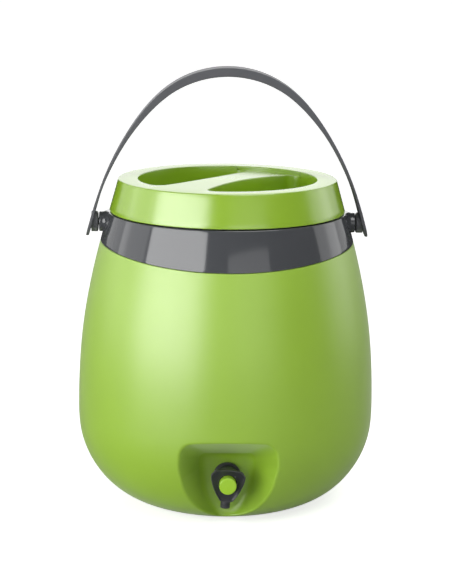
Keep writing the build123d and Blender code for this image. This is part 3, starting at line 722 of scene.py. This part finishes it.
def make_finger_plate():
    """A dished plate with a thin raised rim round the button's well."""
    points, reach = plate_outline()
    outline = np.array(rounded_corners(points, reach))
    steps = 180
    angles = np.array([2 * math.pi * i / steps - math.pi for i in range(steps)])
    turn, far = np.arctan2(outline[:, 1], outline[:, 0]), np.hypot(outline[:, 0], outline[:, 1])
    order = np.argsort(turn)
    far = np.interp(angles, turn[order], far[order], period=2 * math.pi)
    for _ in range(2):
        far = (np.roll(far, 1) + 2 * far + np.roll(far, -1)) / 4
    bore, front, back = 0.0089, -0.1250, -0.1215
    skin, rings = Skin(), []

    def ring(inset, y):
        reach_now = np.maximum(far - inset, bore)
        rings.append(skin.ring([(r * math.cos(a), y, r * math.sin(a)) for r, a in zip(reach_now, angles)]))

    def between(share, y, inset=0.0014):
        near = far - inset
        reach_now = bore + 0.0004 + (near - bore - 0.0004) * share
        rings.append(skin.ring([(r * math.cos(a), y, r * math.sin(a)) for r, a in zip(reach_now, angles)]))

    def circle(radius, y):
        rings.append(skin.ring([(radius * math.cos(a), y, radius * math.sin(a)) for a in angles]))

    circle(bore, -0.1205)
    ring(0.0012, back + 0.0004)
    ring(0.0004, back + 0.0001)
    ring(0.0001, back - 0.0003)
    ring(0.0, back - 0.0008)
    ring(0.0, front + 0.0006)
    ring(0.0001, front + 0.0003)
    ring(0.00035, front + 0.00006)
    ring(0.0006, front)
    ring(0.0008, front + 0.00004)
    ring(0.0010, front + 0.0002)
    between(1.0, front + 0.0006)
    for share in (0.85, 0.65, 0.45, 0.25, 0.1):
        between(share, front + 0.0006 + 0.0012 * (1 - share) ** 0.8)
    circle(bore + 0.0003, front + 0.0019)
    circle(bore, front + 0.0022)
    circle(bore, front + 0.0032)
    skin.chain(rings + rings[:1])
    return skin


def make_nozzle():
    """The spout below the barrel, with a thin lip at its mouth."""
    low = -0.0278
    profile = [(0.0033, -0.0060), (0.0046, -0.0060), (0.0046, -0.0235), (0.0047, -0.0240),
               (0.0047, low + 0.0006), (0.0045, low + 0.0002), (0.0041, low), (0.0037, low + 0.0001),
               (0.0034, low + 0.0005), (0.0033, low + 0.0012)]
    skin = lathe(profile, 64, axis="Z")
    skin.points = [(x, y - 0.1095, z) for x, y, z in skin.points]
    return skin


def make_button():
    """The push button: a flat-crowned cup with an eased front edge."""
    front, back, radius, wall = -0.1317, -0.1225, 0.0081, 0.0016
    ease = 0.0011
    profile = [(0.0, front), (0.0030, front + 0.00002), (0.0055, front + 0.00008)]
    profile += [(radius - ease + ease * math.sin(a), front + 0.0001 + ease * (1 - math.cos(a)))
                for a in np.linspace(0, math.pi / 2, 8)]
    profile += [(radius, back - 0.0003), (radius - 0.0003, back), (radius - wall, back),
                (radius - wall, front + 0.0024), (0.0, front + 0.0024)]
    return lathe(profile, 96, axis="Y", closed=False)


# ---- studio ----
FLOOR_LIFT, FLOOR_DIM = 0.72, 0.9   # glow seen by the camera, and the share taken out of reflections


def floor_material():
    """Pale matt sheet: lifted towards white where it is seen, and faint in what the jug reflects."""
    material = plastic("studio_white", (0.74, 0.74, 0.74), (0.72, 0.72, 0.72), 0.7, grain=300.0,
                       grain_depth=0.02, specular=0.1)
    tree = material.node_tree
    shader = tree.nodes["Principled BSDF"]
    out = next(n for n in tree.nodes if n.bl_idname == "ShaderNodeOutputMaterial")
    glow, add = node(tree, "ShaderNodeEmission", Strength=1.0), tree.nodes.new("ShaderNodeAddShader")
    path, lift = node(tree, "ShaderNodeLightPath"), tree.nodes.new("ShaderNodeMapRange")
    lift.inputs["To Max"].default_value = FLOOR_LIFT
    tree.links.new(path.outputs["Is Camera Ray"], lift.inputs["Value"])
    tree.links.new(lift.outputs["Result"], glow.inputs["Strength"])
    tree.links.new(shader.outputs["BSDF"], add.inputs[0])
    tree.links.new(glow.outputs["Emission"], add.inputs[1])
    dim, mix = node(tree, "ShaderNodeMath", operation="MULTIPLY"), tree.nodes.new("ShaderNodeMixShader")
    dim.inputs[1].default_value = FLOOR_DIM
    dark = node(tree, "ShaderNodeBsdfDiffuse")
    dark.inputs["Color"].default_value = (0.02, 0.02, 0.02, 1)
    tree.links.new(path.outputs["Is Glossy Ray"], dim.inputs[0])
    tree.links.new(dim.outputs["Value"], mix.inputs["Fac"])
    tree.links.new(add.outputs["Shader"], mix.inputs[1])
    tree.links.new(dark.outputs["BSDF"], mix.inputs[2])
    tree.links.new(mix.outputs["Shader"], out.inputs["Surface"])
    return material


def make_floor():
    """One wide pale sheet that the jug stands on."""
    first, reach, rings, steps = 0.05, 40.0, 24, 96
    skin, made = Skin(), []
    for k in range(rings):
        radius = first + (reach - first) * (k / (rings - 1)) ** 3
        made.append(skin.ring([(radius * math.cos(2 * math.pi * i / steps),
                                radius * math.sin(2 * math.pi * i / steps), 0.0) for i in range(steps)]))
    skin.chain(made)
    skin.cap(made[0])
    mesh = bpy.data.meshes.new("studio_floor")
    mesh.from_pydata(skin.points, [], skin.faces)
    tidy_mesh(mesh, 1.0)
    floor = bpy.data.objects.new("studio_floor", mesh)
    bpy.context.scene.collection.objects.link(floor)
    mesh.materials.append(floor_material())


def softbox(name, azimuth, elevation, distance, width, height, radiance, aim=(0, 0, 0.17)):
    """A rectangular light round the jug; azimuth 0 is in front, positive to the right."""
    light = bpy.data.lights.new(name, "AREA")
    light.shape = "RECTANGLE"
    light.size, light.size_y = width, height
    light.energy = radiance * math.pi * width * height
    lamp = bpy.data.objects.new(name, light)
    bpy.context.scene.collection.objects.link(lamp)
    a, e = math.radians(azimuth), math.radians(elevation)
    away = Vector((math.sin(a) * math.cos(e), -math.cos(a) * math.cos(e), math.sin(e)))
    lamp.location = Vector(aim) + away * distance
    lamp.rotation_mode = "QUATERNION"
    lamp.rotation_quaternion = away.to_track_quat("Z", "Y")
    lamp.visible_camera = False


def make_world():
    """A white room: bright behind the jug, dim behind the camera, plain white where it is seen."""
    world = bpy.data.worlds.new("studio")
    bpy.context.scene.world = world
    world.use_nodes = True
    tree = world.node_tree
    tree.nodes.clear()
    place = node(tree, "ShaderNodeTexCoord")
    split = node(tree, "ShaderNodeSeparateXYZ")
    ramp = tree.nodes.new("ShaderNodeValToRGB")
    stops = [(0.0, 0.10), (0.50, 0.12), (0.615, 0.16), (0.66, 0.75), (0.92, 0.90), (0.975, 1.7), (1.0, 1.8)]
    ramp.color_ramp.elements.remove(ramp.color_ramp.elements[1])
    for k, (position, value) in enumerate(stops):
        element = ramp.color_ramp.elements[0] if k == 0 else ramp.color_ramp.elements.new(position)
        element.position, element.color = position, (value / 3, value / 3, value / 3, 1)
    shift = node(tree, "ShaderNodeMapRange")
    shift.inputs["From Min"].default_value, shift.inputs["From Max"].default_value = -1.0, 1.0
    room = node(tree, "ShaderNodeBackground", Strength=3.0)
    seen = node(tree, "ShaderNodeBackground", Strength=1.0)
    seen.inputs["Color"].default_value = (1, 1, 1, 1)
    path, mix = node(tree, "ShaderNodeLightPath"), node(tree, "ShaderNodeMixShader")
    out = node(tree, "ShaderNodeOutputWorld")
    tree.links.new(place.outputs["Generated"], split.inputs["Vector"])
    tree.links.new(split.outputs["Y"], shift.inputs["Value"])
    tree.links.new(shift.outputs["Result"], ramp.inputs["Fac"])
    tree.links.new(ramp.outputs["Color"], room.inputs["Color"])
    tree.links.new(path.outputs["Is Camera Ray"], mix.inputs["Fac"])
    tree.links.new(room.outputs["Background"], mix.inputs[1])
    tree.links.new(seen.outputs["Background"], mix.inputs[2])
    tree.links.new(mix.outputs["Shader"], out.inputs["Surface"])


CAMERA_ORBIT = -1.4   # degrees round the jug, so that the tap stands a little right of the middle
CAMERA_PITCH, CAMERA_ROLL, CAMERA_LENS = 0.2091, 0.010, 105.2
CAMERA_PLACE = (-0.0004, -1.650, 0.5538)


def make_camera():
    """A long lens in front of the jug, looking slightly down."""
    pitch, roll = CAMERA_PITCH, CAMERA_ROLL
    right, up = Vector((1, 0, 0)), Vector((0, math.sin(pitch), math.cos(pitch)))
    forward = Vector((0, math.cos(pitch), -math.sin(pitch)))
    x_axis = right * math.cos(roll) + up * math.sin(roll)
    y_axis = up * math.cos(roll) - right * math.sin(roll)
    camera = bpy.data.cameras.new("camera")
    camera.lens, camera.sensor_width, camera.sensor_fit = CAMERA_LENS, 36.0, "AUTO"
    camera.clip_start, camera.clip_end = 0.05, 200.0
    holder = bpy.data.objects.new("camera", camera)
    bpy.context.scene.collection.objects.link(holder)
    turn = Matrix((x_axis, y_axis, -forward)).transposed()
    holder.matrix_world = (Matrix.Rotation(math.radians(CAMERA_ORBIT), 4, "Z")
                           @ Matrix.Translation(CAMERA_PLACE) @ turn.to_4x4())
    bpy.context.scene.camera = holder


# ---- build ----
paint_cad_nodes()
shell_piece = make_piece("outer_shell_skin", make_shell(), body_green, "jug", ["outer_shell"])
thicken(shell_piece, SHELL_WALL)
make_piece("collar_skin", make_collar(), collar_grey, "jug", ["collar_band"])
for side, label in ((-1, "left"), (1, "right")):
    make_piece(f"collar_boss_{label}", make_boss(side), collar_grey, "jug")
make_piece("lid_skin", make_lid(), lid_green, "lid", ["lid_shell"], sharp=50)
make_piece("tap_barrel", make_tap_barrel(), tap_grey, "jug", ["tap_body"], transform=tap_place())
make_piece("tap_finger_plate", make_finger_plate(), tap_grey, "jug",
           transform=tap_place(), sharp=60)
make_piece("tap_nozzle", make_nozzle(), tap_grey, "jug", transform=tap_place())
make_piece("tap_button_cap", make_button(), button_green, "plunger", ["tap_button"],
           transform=tap_place())
make_floor()
softbox("key_softbox", -48, 8, 1.7, 1.72, 1.4, 3.75)
softbox("left_panel", -95, 8, 1.7, 1.0, 1.2, 0.95)
softbox("front_panel", 18, 2, 1.7, 1.1, 1.3, 0.72)
softbox("top_softbox", 30, 56, 1.7, 1.2, 1.2, 3.0)
softbox("right_panel", 104, 8, 1.7, 0.95, 1.3, 0.85)
make_world()
make_camera()
bpy.context.scene.view_settings.view_transform = "Standard"
